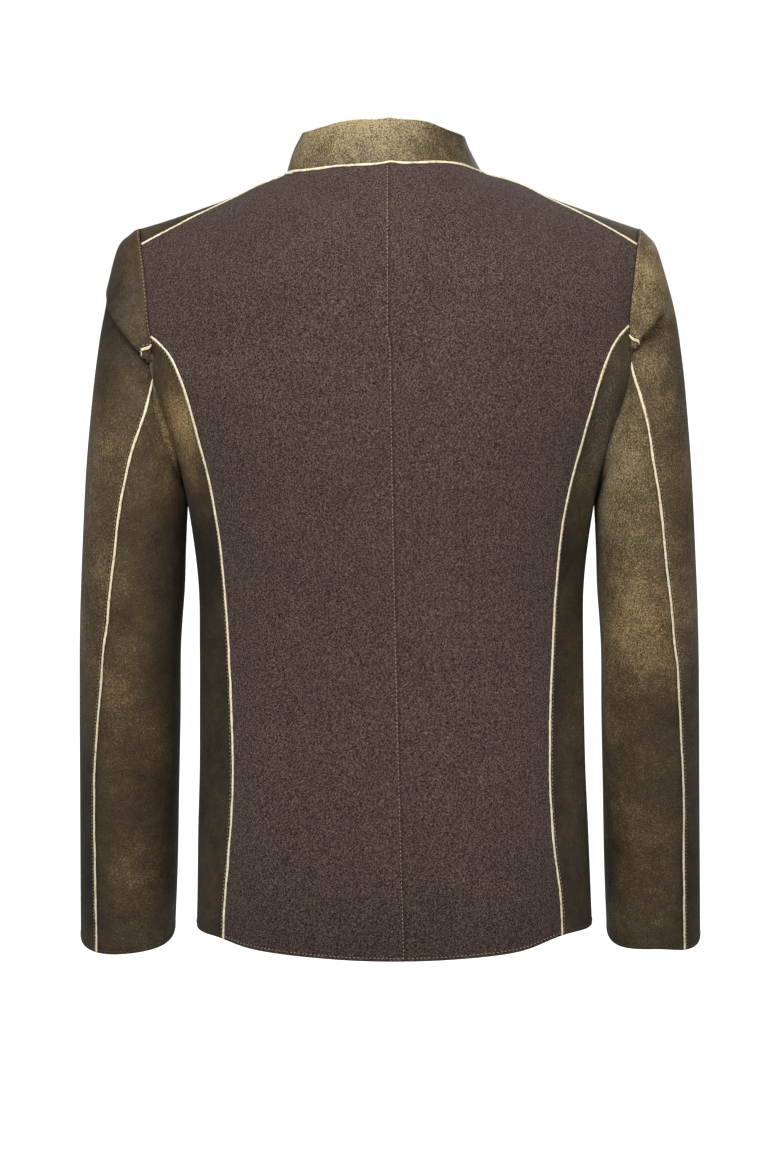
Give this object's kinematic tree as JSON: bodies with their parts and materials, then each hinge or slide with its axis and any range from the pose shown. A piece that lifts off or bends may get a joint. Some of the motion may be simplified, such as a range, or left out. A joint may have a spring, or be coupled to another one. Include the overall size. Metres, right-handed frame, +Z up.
{
  "type": "leather jacket",
  "caption": "Stand-collar jacket with leather sleeves and sides, a wool back and pale raw edges along its seams, filled out as worn.",
  "frame": {"origin": "middle of the shoulder line, level with the sides of the neck, where the wearer's shoulders hold the jacket up", "axes": "+Z up, the front faces -Y, the wearer's left side is at +X"},
  "size_m": [0.595, 0.2516, 0.781],
  "materials": {
    "leather": "waxed sheepskin, dark olive brown with golden wear",
    "collar_leather": "distressed olive-gold sheepskin",
    "wool": "milled melange wool, dark brown",
    "raw_edge": "cream raw-cut leather edge",
    "horn": "polished horn, dark brown"
  },
  "bodies": {
    "root": {"back_left": "wool", "back_right": "wool", "side_left": "leather", "side_right": "leather", "front_left": "leather", "front_right": "leather", "sleeve_top_left": "leather", "sleeve_top_right": "leather", "sleeve_under_left": "leather", "sleeve_under_right": "leather", "collar": "collar_leather", "welt_back_left": "raw_edge", "welt_back_right": "raw_edge", "welt_shoulder_left": "raw_edge", "welt_shoulder_right": "raw_edge", "welt_sleeve_left": "raw_edge", "welt_sleeve_right": "raw_edge", "welt_collar": "raw_edge", "button_1": "horn", "button_2": "horn", "button_3": "horn", "button_4": "horn", "button_5": "horn", "button_6": "horn"}
  },
  "joints": []
}
